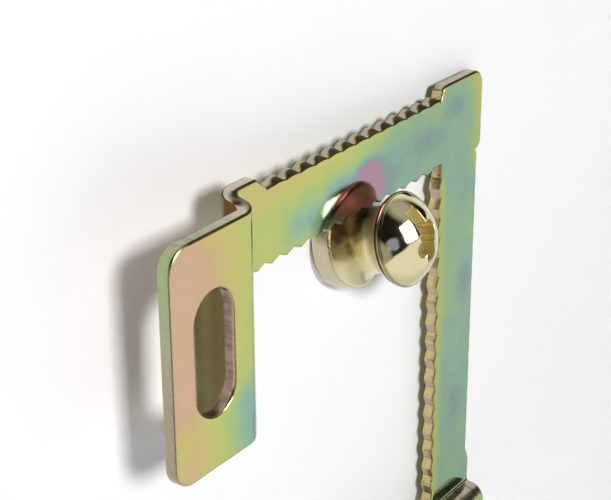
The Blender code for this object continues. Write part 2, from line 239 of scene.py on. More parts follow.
# Soft spots of thicker film on the bars: centre, half size and how much is added
FILM_SPOTS = (
    ((-8.8, 5.0), (3.4, 1.8), 0.2),
    ((-0.8, 6.5), (2.4, 1.4), 0.2),
    ((-2.4, 4.7), (6.6, 3.1), 0.56),
    ((4.0, 6.4), (7.0, 3.4), 0.09),
    ((7.0, 6.0), (2.4, 1.6), 0.16),
    ((11.0, 7.8), (2.4, 1.8), 0.2),
    ((13.0, -7.5), (1.8, 3.0), 0.16),
    ((12.0, -18.2), (1.8, 3.0), 0.14),
)

# Where the screw's recess, rougher and paler as painted light, begins: off its axis, above the dome's centre
# and under the dome's surface; then where the painted shade from the lip down begins
RECESS_REACH_SQUARED = (8.2, 7.4)
RECESS_FLOOR = (1.6, 1.8)
RECESS_BELOW = (0.02, 0.08)
LIP_TOP = (HEAD_START + LIP, HEAD_START + LIP * 0.85)

# Where the spool's finish, painted shade and painted light change, along its axis and then in height
RIM_EDGE = (FLANGE + 0.02, FLANGE - 0.06)
# Painted light: the groove paler towards the head
LIT_FRONT = (3.4, 4.1)
SATIN_FRONT = (3.8, 4.8)
# Painted shade: the groove darker towards its top
GROOVE_SHADE_HEIGHT = (3.4, -2.4)
# Painted shade: a dark spot on the neck under the plate's teeth
SHADED_SPOT = ((2.6, 2.4), (1.1, 1.0))

# Where the plate's finish and its painted shade change from left to right, softly from the first place to the
# second
OUTER_SIDE = (-22.8, -23.2)
# Where the painted shade on the rolled front edges begins
ROLL_SHADE_BEGINS = (-23.2, -22.4)
SHELTER_BEGINS = (-22.8, -22.4)
BEND_BEGINS = (-20.0, -16.5)
TAB_FILM = (-15.4, -16.4)
SHELTER_ENDS = (-14.6, -15.2)
BEND_ENDS = (-12.8, -13.4)
TEETH_BEGIN = (-13.4, -12.8)
# Where the faces turn darker, towards the right
DARKER_TO_RIGHT = (-4.0, 7.0)

# The same from front to back, and then upwards
BEHIND_TAB = (-4.75, -4.4)
CUT_SIDE = (-3.75, -3.85)
# Where the painted red-brown shade lightens towards the back
RED_BROWN_LIGHTENS = (-2.0, -3.4)
TEETH_REDDEN = (-2.1, -2.6)
# Painted shade: the return lightens towards the back
OLIVE_SHADE_LIGHTENS = (-1.9, -0.7)
WEATHER_HEIGHT = (-5.0, 8.0)
# Height where the painted red-brown shade takes over
RED_BROWN_HEIGHT = (4.6, 6.0)
TOP_HEIGHT = (6.0, 7.0)
ROLL_HEIGHT = (8.0, 8.3)

# Stage and lamps, in metres
WALL_GAP = 0.0001
WALL_SLOPE = -0.13
WALL_REACH = 0.4
WALL_FOOT = -0.076
FLOOR_LEVEL = -0.075
FLOOR_LEFT = -0.1
FLOOR_RIGHT = 0.8
FLOOR_FRONT = -0.8
FLOOR_BACK = 0.4
LAMP_TARGET = Vector((0.0, -0.003, 0.0))

# Directions that bound the pale ground in the world, and how soft its edges are
GROUND_BOUNDS = ((0.676, -0.264, -0.688), (0.475, -0.086, -0.876), (0.132, -0.076, -0.988))
GROUND_EDGE = (-0.015, 0.02)

# Camera as fitted to the photo: its place in millimetres, its focal length in the photo's pixels
CAMERA_PLACE = Vector((-87.86, -59.06, 45.06))
CAMERA_TURN = math.radians(54.78)
CAMERA_DROP = math.radians(23.37)
CAMERA_ROLL = math.radians(-0.36)
FOCAL_PIXELS = 1614.0
PHOTO_WIDTH = 611.0
SENSOR = 36.0


# Geometry helpers

def linked(name, data):
    obj = bpy.data.objects.new(name, data)
    bpy.context.scene.collection.objects.link(obj)
    return obj


def from_bmesh(name, bm):
    """An object with the bmesh as its mesh; the bmesh is used up."""
    mesh = bpy.data.meshes.new(name)
    bm.to_mesh(mesh)
    bm.free()
    return linked(name, mesh)


def evaluated_mesh(obj):
    """A new mesh of an object as its curve settings or modifiers make it."""
    graph = bpy.context.evaluated_depsgraph_get()
    return bpy.data.meshes.new_from_object(obj.evaluated_get(graph), depsgraph=graph)


def finished(name, bm, mat, body, node, place=Matrix.Identity(4)):
    """Turns a bmesh in millimetres into a piece that stands for a CAD node."""
    obj = from_bmesh(name, bm)
    obj.data.transform(place @ Matrix.Scale(MM, 4))
    obj.data.materials.append(mat)
    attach(obj, body)
    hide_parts(node)
    return obj


def rounded(points, steps=CORNER_STEPS):
    """Points of a path whose (x, y, radius) corners become arcs."""
    out = []
    for i, (x, y, radius) in enumerate(points):
        here = Vector((x, y))
        if radius <= 0.0 or i in (0, len(points) - 1):
            out.append(here)
            continue
        to_last = (Vector(points[i - 1][:2]) - here).normalized()
        to_next = (Vector(points[i + 1][:2]) - here).normalized()
        spread = to_last.angle(to_next)
        reach = radius / math.tan(spread / 2)
        centre = here + (to_last + to_next).normalized() * (radius / math.sin(spread / 2))
        first = here + to_last * reach - centre
        last = here + to_next * reach - centre
        turn = first.angle_signed(last)
        for k in range(steps + 1):
            out.append(centre + Matrix.Rotation(-turn * k / steps, 2) @ first)
    return out


def lathe(profile, segments, closed):
    """A bmesh turned about Z from (radius, height) points."""
    bm = bmesh.new()
    verts = [bm.verts.new((p[0], 0.0, p[1])) for p in profile]
    edges = [bm.edges.new(pair) for pair in zip(verts, verts[1:])]
    if closed:
        edges.append(bm.edges.new((verts[-1], verts[0])))
    bmesh.ops.spin(
        bm,
        geom=verts + edges,
        cent=(0.0, 0.0, 0.0),
        axis=(0.0, 0.0, 1.0),
        angle=2 * math.pi,
        steps=segments,
        use_merge=True,
    )
    bmesh.ops.remove_doubles(bm, verts=bm.verts, dist=WELD)
    bmesh.ops.recalc_face_normals(bm, faces=bm.faces)
    return bm


def box_cutter(size, centre, turn):
    """A box as a bmesh, turned about Z after it is placed."""
    bm = bmesh.new()
    bmesh.ops.create_cube(bm, size=1.0)
    bmesh.ops.scale(bm, vec=Vector(size), verts=bm.verts)
    bmesh.ops.translate(bm, vec=Vector(centre), verts=bm.verts)
    bmesh.ops.rotate(bm, cent=(0.0, 0.0, 0.0), matrix=Matrix.Rotation(turn, 3, "Z"), verts=bm.verts)
    return bm


def cut(bm, cutters):
    """The bmesh less the cutters, one at a time."""
    body = from_bmesh("body", bm)
    for cutter in cutters:
        tool = from_bmesh("tool", cutter)
        mod = body.modifiers.new("cut", "BOOLEAN")
        mod.operation = "DIFFERENCE"
        mod.solver = "EXACT"
        mod.object = tool
        mesh = evaluated_mesh(body)
        body.modifiers.clear()
        body.data = mesh
        bpy.data.objects.remove(tool, do_unlink=True)
    out = bmesh.new()
    out.from_mesh(body.data)
    bpy.data.objects.remove(body, do_unlink=True)
    return out


def slice_at(bm, place, normal):
    """Adds edges to the bmesh where a plane crosses it."""
    geom = bm.verts[:] + bm.edges[:] + bm.faces[:]
    bmesh.ops.bisect_plane(bm, geom=geom, dist=WELD, plane_co=place, plane_no=normal)


def shade(obj, sharp_from):
    """Shades an object smooth, apart from edges that turn by more than an angle in degrees."""
    for poly in obj.data.polygons:
        poly.use_smooth = True
    obj.data.set_sharp_from_angle(angle=math.radians(sharp_from))


# Node helpers

class Nodes:
    """Short calls for building the node tree of a material or the world."""

    def __init__(self, owner):
        owner.use_nodes = True
        self.owner = owner
        self.tree = owner.node_tree
        self.shader = self.tree.nodes.get("Principled BSDF")
        self.output = self.tree.nodes.get("Material Output")

    def add(self, kind, **values):
        node = self.tree.nodes.new(kind)
        for key, value in values.items():
            setattr(node, key, value)
        return node

    def put(self, value, socket):
        if isinstance(value, bpy.types.NodeSocket):
            self.tree.links.new(value, socket)
        else:
            socket.default_value = value

    def coat(self, colour, rough, normal=None, metallic=0.0):
        """Sets what the material's own shader shows."""
        self.put(colour, self.shader.inputs["Base Color"])
        self.put(rough, self.shader.inputs["Roughness"])
        self.put(metallic, self.shader.inputs["Metallic"])
        if normal:
            self.put(normal, self.shader.inputs["Normal"])

    def calc(self, operation, *values):
        node = self.add("ShaderNodeMath", operation=operation)
        for value, socket in zip(values, node.inputs):
            self.put(value, socket)
        return node.outputs[0]

    def chain(self, operation, values):
        out = values[0]
        for value in values[1:]:
            out = self.calc(operation, out, value)
        return out

    def total(self, *values):
        return self.chain("ADD", values)

    def product(self, *values):
        return self.chain("MULTIPLY", values)

    def step(self, value, low, high, start=0.0, end=1.0):
        """A soft step from start to end while the value goes from low to high."""
        node = self.add("ShaderNodeMapRange", interpolation_type="SMOOTHSTEP")
        self.put(value, node.inputs["Value"])
        limits = {"From Min": low, "From Max": high, "To Min": start, "To Max": end}
        for name, limit in limits.items():
            self.put(limit, node.inputs[name])
        return node.outputs["Result"]

    def place(self):
        """The object's own coordinates, in millimetres."""
        coords = self.add("ShaderNodeTexCoord")
        scale = self.add("ShaderNodeVectorMath", operation="SCALE")
        self.put(coords.outputs["Object"], scale.inputs[0])
        scale.inputs["Scale"].default_value = 1.0 / MM
        return scale.outputs[0]

    def noise(self, vector, scale, detail=2.0, rough=0.5, warp=0.0):
        node = self.add("ShaderNodeTexNoise")
        self.put(vector, node.inputs["Vector"])
        node.inputs["Scale"].default_value = scale
        node.inputs["Detail"].default_value = detail
        node.inputs["Roughness"].default_value = rough
        node.inputs["Distortion"].default_value = warp
        return node.outputs["Fac"]

    def ramp(self, value, stops):
        node = self.add("ShaderNodeValToRGB")
        self.put(value, node.inputs["Fac"])
        items = node.color_ramp.elements
        while len(items) < len(stops):
            items.new(0.5)
        for item, (position, colour) in zip(items, stops):
            item.position = position
            item.color = (*colour, 1.0)
        return node.outputs["Color"]

    def two_tone(self, value, tones, low=0.3, high=0.7):
        return self.ramp(value, ((low, tones[0]), (high, tones[1])))

    def bump(self, height, strength, distance, normal=None):
        """A normal tilted as by a relief, whose full height is a distance in millimetres."""
        node = self.add("ShaderNodeBump")
        node.inputs["Strength"].default_value = strength
        node.inputs["Distance"].default_value = distance * MM
        self.put(height, node.inputs["Height"])
        if normal:
            self.put(normal, node.inputs["Normal"])
        return node.outputs["Normal"]

    def blob(self, x, z, centre, size):
        """1 in the middle of a soft oval, 0 outside it."""
        across = self.calc("DIVIDE", self.calc("SUBTRACT", x, centre[0]), size[0])
        along = self.calc("DIVIDE", self.calc("SUBTRACT", z, centre[1]), size[1])
        squares = self.total(self.product(across, across), self.product(along, along))
        return self.step(self.calc("SQRT", squares), 1.0, 0.0)

    def split(self, vector):
        node = self.add("ShaderNodeSeparateXYZ")
        self.put(vector, node.inputs[0])
        return node.outputs["X"], node.outputs["Y"], node.outputs["Z"]

    def swing(self, value, amount):
        """A 0 to 1 value spread to either side of nought."""
        return self.product(self.calc("SUBTRACT", value, 0.5), amount)

    def merge(self, share, first, second):
        """A number between two others, the second where the share is 1."""
        rest = self.calc("SUBTRACT", 1.0, share)
        return self.total(self.product(first, rest), self.product(second, share))

    def blend(self, share, first, second):
        """A colour between two others, the second where the share is 1."""
        node = self.add("ShaderNodeMix", data_type="RGBA")
        self.put(share, node.inputs["Factor"])
        self.put(first, node.inputs[6])
        self.put(second, node.inputs[7])
        return node.outputs[2]

    def along(self, vector, direction):
        """How far a vector reaches in a direction."""
        node = self.add("ShaderNodeVectorMath", operation="DOT_PRODUCT")
        self.put(vector, node.inputs[0])
        node.inputs[1].default_value = Vector(direction).normalized()
        return node.outputs["Value"]


def material(name):
    return Nodes(bpy.data.materials.new(name))


# Finish of the screw

def in_recess(n, spot):
    """1 under the dome's surface and near the screw's axis, 0 elsewhere."""
    offset = n.add("ShaderNodeVectorMath", operation="SUBTRACT")
    n.put(spot, offset.inputs[0])
    offset.inputs[1].default_value = DOME_CENTRE
    size = n.add("ShaderNodeVectorMath", operation="LENGTH")
    n.put(offset.outputs[0], size.inputs[0])
    distance = size.outputs["Value"]
    height = n.along(offset.outputs[0], OUTWARD)
    off_axis_squared = n.calc("SUBTRACT", n.calc("POWER", distance, 2.0), n.calc("POWER", height, 2.0))
    near_axis = n.step(off_axis_squared, *RECESS_REACH_SQUARED)
    in_head = n.step(height, *RECESS_FLOOR)
    below_surface = n.step(distance, *(SPHERE - depth for depth in RECESS_BELOW))
    return n.product(near_axis, in_head, below_surface)


def screw_finish(name):
    """Bright brass plating; rougher in the recess and paler there as painted light, and darker from the lip
    down as painted shade.
    """
    n = material(name)
    spot = n.place()
    cloud = n.noise(spot, 0.9, 3.0)
    fine = n.noise(spot, 14.0, 4.0, 0.6)
    inside = in_recess(n, spot)
    on_lip = n.step(n.along(spot, OUTWARD), *LIP_TOP)
    # Painted light: the recess takes the paler brass
    colour = n.blend(inside, n.two_tone(cloud, BRASS), n.two_tone(fine, LIT_RECESS_BRASS))
    # Painted shade: darker brass from the lip down
    colour = n.blend(on_lip, colour, n.two_tone(cloud, SHADED_LIP_BRASS))
    gloss = n.total(n.step(fine, 0.3, 0.8, 0.063, 0.135), n.product(inside, 0.28))
    edge = n.add("ShaderNodeBevel", samples=6)
    edge.inputs["Radius"].default_value = EDGE_LOOK * MM
    wave = n.bump(n.noise(spot, 1.6, 2.0), 0.06, 0.1, edge.outputs["Normal"])
    n.coat(colour, gloss, n.bump(fine, 0.05, 0.02, wave), metallic=1.0)
    return n.owner


# Finish of the spool

def spool_finish(name):
    """Satin brass; greyer on the flange's rim and darker on top of the groove and at a spot under the plate,
    all painted shade, and paler towards the head as painted light.
    """
    n = material(name)
    spot = n.place()
    _, _, z = n.split(spot)
    station = n.along(spot, OUTWARD)
    cloud = n.noise(spot, 1.1, 3.0)
    fine = n.noise(spot, 14.0, 4.0, 0.6)
    # Painted shade: darker spot under the plate's teeth
    spot_shade = n.product(n.blob(station, z, *SHADED_SPOT), -0.5)
    # Painted light: paler towards the head
    front_light = n.step(station, *LIT_FRONT, 0.0, 0.6)
    # Painted shade: darker towards the groove's top, with random tone, the dark spot and the paler front
    # added
    groove_shade = n.total(n.step(z, *GROOVE_SHADE_HEIGHT), n.swing(cloud, 0.35), spot_shade, front_light)
    # Painted shade: the flange's rim takes the greyer brass
    on_rim = n.step(station, *RIM_EDGE)
    colour = n.blend(on_rim, n.ramp(groove_shade, SHADED_GROOVE), n.two_tone(cloud, SHADED_RIM_BRASS))
    satin = n.total(n.step(fine, 0.25, 0.8, 0.2, 0.36), n.step(station, *SATIN_FRONT, 0.0, 0.3))
    wave = n.bump(cloud, 0.05, 0.1)
    n.coat(colour, satin, n.bump(fine, 0.06, 0.02, wave), metallic=1.0)
    return n.owner


# Finish of the plate

Sheet = namedtuple("Sheet", "spot x y z forward upward torn")


def sheet_values(n):
    """What the plate's colours depend on: place, the way the surface faces, and streaks through the sheet."""
    spot = n.place()
    x, y, z = n.split(spot)
    _, forward, upward = n.split(n.add("ShaderNodeNewGeometry").outputs["Normal"])
    streak = n.add("ShaderNodeVectorMath", operation="MULTIPLY")
    n.put(spot, streak.inputs[0])
    streak.inputs[1].default_value = (1.0, 0.2, 1.0)
    torn = n.noise(streak.outputs[0], 2.2, 3.0, 0.6)
    return Sheet(spot, x, y, z, forward, upward, torn)


def film_colour(n, at):
    """The film's colour, which follows its thickness over the bars, the tab and the rear."""
    across = n.step(at.x, -15.0, 3.0, 0.42, 0.66)
    rim_reach = n.product(n.step(at.x, 6.5, -3.0, 0.3, 1.0), n.step(at.x, -15.5, -9.0, 0.35, 1.0))
    rim = n.product(n.step(at.z, 6.4, 8.8, 0.0, -0.22), rim_reach)
    side = n.product(n.step(at.x, 10.4, 8.8), n.step(at.z, 4.0, 1.0, 0.0, -0.26))
    ear = n.product(n.step(at.x, 12.9, 14.4, 0.0, -0.22), n.step(at.z, 1.0, 3.0))
    spots = [n.product(n.blob(at.x, at.z, centre, size), added) for centre, size, added in FILM_SPOTS]
    bars = n.total(across, rim, side, ear, *spots)
    tab = n.total(
        n.step(at.x, -23.4, -16.2, 0.05, 0.42),
        n.step(at.z, -1.0, -3.6, 0.0, 0.2),
        n.step(at.z, 6.0, 9.0, 0.0, 0.02),
        n.product(n.blob(at.x, at.z, (-16.0, -4.4), (4.0, 6.0)), 0.1),
    )
    drift = n.swing(n.noise(at.spot, 0.2, 3.0, 0.5, 0.6), 0.3)
    patch = n.swing(n.noise(at.spot, 0.65, 3.0, 0.55, 0.4), 0.2)
    rear = n.step(at.forward, 0.3, 0.8, 0.0, -0.24)
    thickness = n.total(n.merge(n.step(at.x, *TAB_FILM), bars, tab), drift, patch, rear)
    return n.ramp(thickness, FILM)


def cut_colour(n, at, top_strip):
    """The sheared edges' colour: streaked, darker where they face up as painted shade, weathered on the tab's
    outer side, paler along the top.
    """
    # Painted shade: the higher an edge faces, the darker its tone; the streaks are the metal's own
    facing_shade_and_streaks = n.total(n.step(at.upward, -1.0, 1.0), n.swing(at.torn, 0.55))
    outer = n.product(n.step(at.x, *OUTER_SIDE), n.step(at.upward, 0.95, 0.7))
    weather = n.total(n.step(at.z, *WEATHER_HEIGHT), n.swing(at.torn, 0.3))
    colour = n.blend(outer, n.ramp(facing_shade_and_streaks, SHEARED_AND_SHADED), n.ramp(weather, WEATHERED))
    near_bend = n.product(n.step(at.x, *BEND_BEGINS), n.step(at.x, *BEND_ENDS))
    colour = n.blend(n.product(top_strip, near_bend), colour, n.two_tone(at.torn, BEND_EDGE))
    on_teeth = n.product(top_strip, n.step(at.x, *TEETH_BEGIN, 0.0, 0.75))
    reddened = n.total(n.step(at.y, *TEETH_REDDEN), n.swing(at.torn, 0.4))
    return n.blend(on_teeth, colour, n.two_tone(reddened, TOOTH_EDGE, 0.0, 1.0))


def behind_tab_shade(n, at):
    """The colour behind the tab, painted as shade: olive on the return, lighter towards the back; red-brown
    above it; and in the slot's wall the raw metal's own pinkish tones, darkened.
    """
    lightened = n.total(n.step(at.y, *OLIVE_SHADE_LIGHTENS), n.swing(at.torn, 0.15))
    warmed = n.total(n.step(at.y, *RED_BROWN_LIGHTENS), n.swing(at.torn, 0.3))
    # Painted shade on the return, lighter towards the back
    olive = n.two_tone(lightened, SHADED_OLIVE, 0.0, 1.0)
    # Painted shade: red-brown on the web above the return
    web_shade = n.two_tone(warmed, RED_BROWN_SHADE, 0.0, 1.0)
    colour = n.blend(n.step(at.z, *RED_BROWN_HEIGHT), olive, web_shade)
    # The slot's wall takes the darkened cut metal, partly painted shade
    return n.blend(n.step(at.y, *CUT_SIDE), colour, n.two_tone(at.torn, SHADED_CUT_WALL))


def chromate(name):
    """Bright zinc with a yellow chromate film on its faces, darker towards the right, and duller colours on
    its edges, with painted shade along the outer teeth's rolled front edges, on edges that face up and behind
    the tab.
    """
    n = material(name)
    at = sheet_values(n)
    grain = n.noise(at.spot, 9.0, 5.0, 0.65)
    flat = n.calc("ABSOLUTE", at.forward)
    rolled = n.product(n.step(flat, 0.995, 0.96), n.step(at.z, *ROLL_HEIGHT))
    turned = n.step(n.calc("SUBTRACT", flat, n.product(at.upward, 0.5)), 0.85, 0.5)
    edge = n.calc("MAXIMUM", turned, rolled)
    top_strip = n.product(n.step(at.upward, 0.4, 0.7), n.step(at.z, *TOP_HEIGHT))
    along_top = n.product(rolled, n.step(at.x, *ROLL_SHADE_BEGINS))
    # Painted shade: a dark line where the teeth's front edges roll over
    roll_shade = n.product(along_top, n.step(flat, 0.1, 0.3), n.step(at.upward, 0.25, 0.45))
    behind = n.product(n.step(at.x, *SHELTER_BEGINS), n.step(at.x, *SHELTER_ENDS))
    shelter = n.product(behind, n.step(at.y, *BEHIND_TAB), n.calc("SUBTRACT", 1.0, top_strip))
    sheared = n.blend(roll_shade, cut_colour(n, at, top_strip), n.two_tone(at.torn, ROLL_SHADE))
    sheared = n.blend(shelter, sheared, behind_tab_shade(n, at))
    # The faces darker towards the right
    darkened = n.step(at.x, *DARKER_TO_RIGHT, 0.0, 0.22)
    face = n.blend(darkened, film_colour(n, at), n.two_tone(grain, DARKER_FACE))
    gloss = n.step(grain, 0.25, 0.8, 0.05, 0.12)
    rough = n.total(gloss, n.product(edge, 0.18), n.product(roll_shade, 0.25))
    wave = n.bump(n.noise(at.spot, 0.5, 2.0), 0.04, 0.1)
    n.coat(n.blend(edge, face, sheared), rough, n.bump(grain, 0.06, 0.02, wave), metallic=1.0)
    return n.owner


# Finish of the plug

def nylon(name):
    """Dull grey moulded nylon."""
    n = material(name)
    spot = n.place()
    fine = n.noise(spot, 12.0, 4.0)
    colour = n.two_tone(n.noise(spot, 0.3, 3.0), NYLON)
    n.coat(colour, n.step(fine, 0.2, 0.8, 0.42, 0.6), n.bump(fine, 0.15, 0.03))
    return n.owner


# Spool

def groove_radius(station):
    """The neck's radius at a place along the axis, on the arc of the groove."""
    arc = ((GROOVE / 2) ** 2 + GROOVE_DEPTH ** 2) / (2 * GROOVE_DEPTH)
    offset = min(abs(station - FLANGE - GROOVE / 2), GROOVE / 2)
    drop = math.sqrt(arc ** 2 - offset ** 2) - (arc - GROOVE_DEPTH)
    return RIM - CHAMFER - drop


def make_spool():
    profile = rounded([
        (BORE, 0.0, 0.0),
        (RIM, 0.0, FLANGE_REAR_ROUND),
        (RIM, FLANGE, FLANGE_FRONT_ROUND),
        (RIM - CHAMFER - GROOVE_STEP, FLANGE + GROOVE_STEP, 0.0),
    ])
    for i in range(1, GROOVE_STEPS + 1):
        station = FLANGE + GROOVE * i / GROOVE_STEPS
        profile.append(Vector((groove_radius(station), station)))
    profile.append(Vector((BORE, FLANGE + GROOVE)))
    bm = lathe(profile, TURNED_SEGMENTS, True)
    mat = spool_finish("spool_satin")
    obj = finished("spool_skin", bm, mat, "spool", "spool_sleeve", AXIS)
    shade(obj, sharp_from=40.0)


# Screw

def screw_profile():
    """The screw's half section, from its point over the lip's bead to the top of the dome."""
    thread_end = THREAD_TOP - TURNS * PITCH - PITCH
    bead = LIP / 2
    profile = rounded([
        (0.0, thread_end - POINT, 0.0),
        (THREAD_ROOT, thread_end, POINT_ROUND),
        (THREAD_ROOT, THREAD_TOP - PITCH / 4, 0.0),
        (SHANK, THREAD_TOP, 0.0),
        (SHANK, HEAD_START, 0.0),
        (RIM - bead, HEAD_START, 0.0),
    ])
    for i in range(1, LIP_STEPS + 1):
        angle = LIP_ARC * i / LIP_STEPS - math.pi / 2
        height = HEAD_START + bead + bead * math.sin(angle)
        profile.append(Vector((RIM - bead + bead * math.cos(angle), height)))
    profile.append(Vector((DOME_BASE, HEAD_START + LIP)))
    reach = math.asin(DOME_BASE / SPHERE)
    for i in range(1, DOME_STEPS + 1):
        angle = reach * (1.0 - i / DOME_STEPS)
        height = HEAD_TOP - SPHERE * (1.0 - math.cos(angle))
        profile.append(Vector((SPHERE * math.sin(angle), height)))
    return profile


def pit_cutter(side):
    """A round-ended cutter for the pit of a wing; side is -1 at the left of the slot, 1 at its right."""
    bm = bmesh.new()
    spot = Matrix.Rotation(SLOT_TURN, 4, "Z") @ Vector((WING_HALF * side, PIT_OFFSET * side, HEAD_TOP))
    bmesh.ops.create_uvsphere(bm, u_segments=32, v_segments=16, radius=1.0)
    bmesh.ops.scale(bm, vec=Vector((PIT_RADIUS, PIT_RADIUS, WING_DEPTH)), verts=bm.verts)
    bmesh.ops.translate(bm, vec=spot, verts=bm.verts)
    return bm


def recess_cutters():
    slot_middle = (0.0, (SLOT_UP - SLOT_DOWN) / 2, HEAD_TOP)
    slot = box_cutter((RECESS_WIDTH, SLOT_UP + SLOT_DOWN, SLOT_DEPTH * 2), slot_middle, SLOT_TURN)
    wings = box_cutter((WING_HALF * 2, RECESS_WIDTH, WING_DEPTH * 2), (0.0, 0.0, HEAD_TOP), SLOT_TURN)
    return slot, wings, pit_cutter(-1.0), pit_cutter(1.0)


def add_thread(bm):
    """Adds a helical ridge wound on the core, its root sunk into it and both its ends faded out."""
    start = THREAD_TOP - PITCH / 2 - TURNS * PITCH
    section = (
        (THREAD_SUNK, -THREAD_FLANK),
        (THREAD_CREST, -THREAD_FLAT),
        (THREAD_CREST, THREAD_FLAT),
        (THREAD_SUNK, THREAD_FLANK),
    )
    steps = THREAD_STEPS * TURNS
    rings = []
    for i in range(steps + 1):
        angle = 2 * math.pi * i / THREAD_STEPS
        lift = start + PITCH * i / THREAD_STEPS
        fade = min(1.0, i / FADE_STEPS, (steps - i) / FADE_STEPS)
        ring = []
        for radius, height in section:
            reach = THREAD_SUNK + (radius - THREAD_SUNK) * fade
            ring.append(bm.verts.new((reach * math.cos(angle), reach * math.sin(angle), lift + height)))
        rings.append(ring)
    for ring, after in zip(rings, rings[1:]):
        for k in range(len(section)):
            j = (k + 1) % len(section)
            bm.faces.new((ring[k], ring[j], after[j], after[k]))


def smooth_dome(mesh):
    """Gives the dome a sphere's own normals, so that the cuts of the recess leave its gloss even."""
    centre = DOME_CENTRE * MM
    tolerance = 0.004 * MM
    facing_out = 0.9
    normals = [Vector(c.vector) for c in mesh.corner_normals]
    for poly in mesh.polygons:
        distances = [(mesh.vertices[v].co - centre).length for v in poly.vertices]
        on_dome = all(abs(distance - SPHERE * MM) < tolerance for distance in distances)
        outward = (poly.center - centre).normalized()
        if on_dome and poly.normal.dot(outward) > facing_out:
            for corner in poly.loop_indices:
                spot = mesh.vertices[mesh.loops[corner].vertex_index].co
                normals[corner] = (spot - centre).normalized()
    mesh.normals_split_custom_set([tuple(v) for v in normals])


def make_screw():
    bm = cut(lathe(screw_profile(), TURNED_SEGMENTS, False), recess_cutters())
    add_thread(bm)
    mat = screw_finish("screw_gloss")
    obj = finished("screw_skin", bm, mat, "screw", "picture_screw", AXIS)
    shade(obj, sharp_from=40.0)
    smooth_dome(obj.data)


# Plug

def make_plug():
    end = PLUG_MOUTH - PLUG_LENGTH
    low = end + PLUG_TIP
    top = PLUG_MOUTH - PLUG_COLLAR
    ribbed = PLUG_LENGTH - PLUG_COLLAR - PLUG_TIP
    path = [
        (PLUG_BORE, PLUG_MOUTH, 0.0),
        (PLUG_BORE, end, 0.0),
        (PLUG_BORE + BARB, end, PLUG_END_ROUND),
    ]
    for i in range(BARBS):
        path.append((PLUG_RADIUS, low + ribbed * i / BARBS, BARB_TOP_ROUND))
        path.append((PLUG_RADIUS - BARB, low + ribbed * (i + BARB_RISE) / BARBS, BARB_FOOT_ROUND))
    path.append((PLUG_RADIUS, top, 0.0))
    path.append((PLUG_RADIUS, PLUG_MOUTH, PLUG_MOUTH_ROUND))
    path.append((PLUG_BORE, PLUG_MOUTH, 0.0))
    profile = rounded(path)[:-1]
    slit = box_cutter((PLUG_RADIUS * 4, SLIT, top - low), (0.0, 0.0, (top + low) / 2), 0.0)
    bm = cut(lathe(profile, PLUG_SEGMENTS, True), (slit,))
    obj = finished("plug_skin", bm, nylon("nylon_dull"), "plug", "wall_plug", AXIS)
    shade(obj, sharp_from=35.0)


# Plate: the flat blank, x along the top bar and y along the side bar from their inner corner

def bend_start(bar):
    """Where the bend of a bar's tab starts, along the bar."""
    return -(bar.teeth * TOOTH + END_MARGIN)


def outer_start(bar):
    """Where the outer teeth start; the land slopes down to them over one tooth."""
    return -(bar.teeth - 2) * TOOTH


def inner_row(bar):
    points = [(INNER_DEPTH, INNER_DEPTH, 0.0)]
    for i in range(bar.teeth):
        points.append((-(i + 0.5) * TOOTH, INNER_DEPTH, INNER_ROUND))
        points.append((-(i + 1) * TOOTH, 0.0, INNER_ROUND))
    return points


def tab_edge(bar):
    """The edge from the inner teeth along the relief slit, round the return and the tab to the land."""
    start = bend_start(bar)
    slit_end = start - BEND_LENGTH - WEB / 2
    return_edge = start - BEND_LENGTH - WEB + RETURN_LENGTH
    tab_side = start - JOG_FLAT
    tab_end = tab_side - (TAB_WIDTH - BEND - SHEET / 2)
    tab_foot = TAB_TOP - TAB_LENGTH
    return [
        (start, INNER_DEPTH, 0.0),
        (slit_end, INNER_DEPTH, 0.0),
        (slit_end, INNER_DEPTH - RELIEF, 0.0),
        (start - RELIEF, INNER_DEPTH - RELIEF, 0.0),
        (start + RELIEF, -RETURN_DROP, 0.0),
        (return_edge, -RETURN_DROP, 0.0),
        (return_edge, tab_foot + RETURN_INSET, RETURN_CORNER),
        (tab_side + BEND_LENGTH, tab_foot + RETURN_INSET, 0.0),
        (tab_side, tab_foot, 0.0),
        (tab_end, tab_foot, TAB_CORNER),
        (tab_end, TAB_TOP, TAB_CORNER),
        (tab_side, TAB_TOP, 0.0),
        (start, bar.land, 0.0),
    ]


def outer_row(bar):
    """The slope of the land, the rounded outer teeth and the land of the ear."""
    first = outer_start(bar)
    points = [
        (first - TOOTH, bar.land, LAND_ROUND),
        (first - TOOTH + LAND_SLOPE, bar.outer_root + FOOT_LIFT, 0.0),
    ]
    for i in range(round(-first / TOOTH)):
        for k in range(1, TOOTH_STEPS):
            swell = math.sin(math.pi * k / TOOTH_STEPS) ** OUTER_SWELL
            across = bar.outer_root + bar.outer_depth * swell
            points.append((first + TOOTH * (i + k / TOOTH_STEPS), across, 0.0))
        points.append((first + TOOTH * (i + 1), bar.outer_root, 0.0))
    points.append((EAR_START, bar.land, EAR_ROUND))
    points.append((bar.far_land, bar.land, 0.0))
    return points


def half_outline(bar):
    return rounded(inner_row(bar) + tab_edge(bar) + outer_row(bar))


def plate_outline():
    """The outlines of both bars, joined by the rounded corner of the ear."""
    one = half_outline(TOP_BAR)
    two = [Vector((p.y, p.x)) for p in reversed(half_outline(SIDE_BAR))]
    corner = (SIDE_BAR.land, TOP_BAR.land, EAR_CORNER)
    ear = rounded([(*one[-2], 0.0), corner, (*two[1], 0.0)], EAR_STEPS)
    return one[:-1] + ear[1:-1] + two[1:-1]


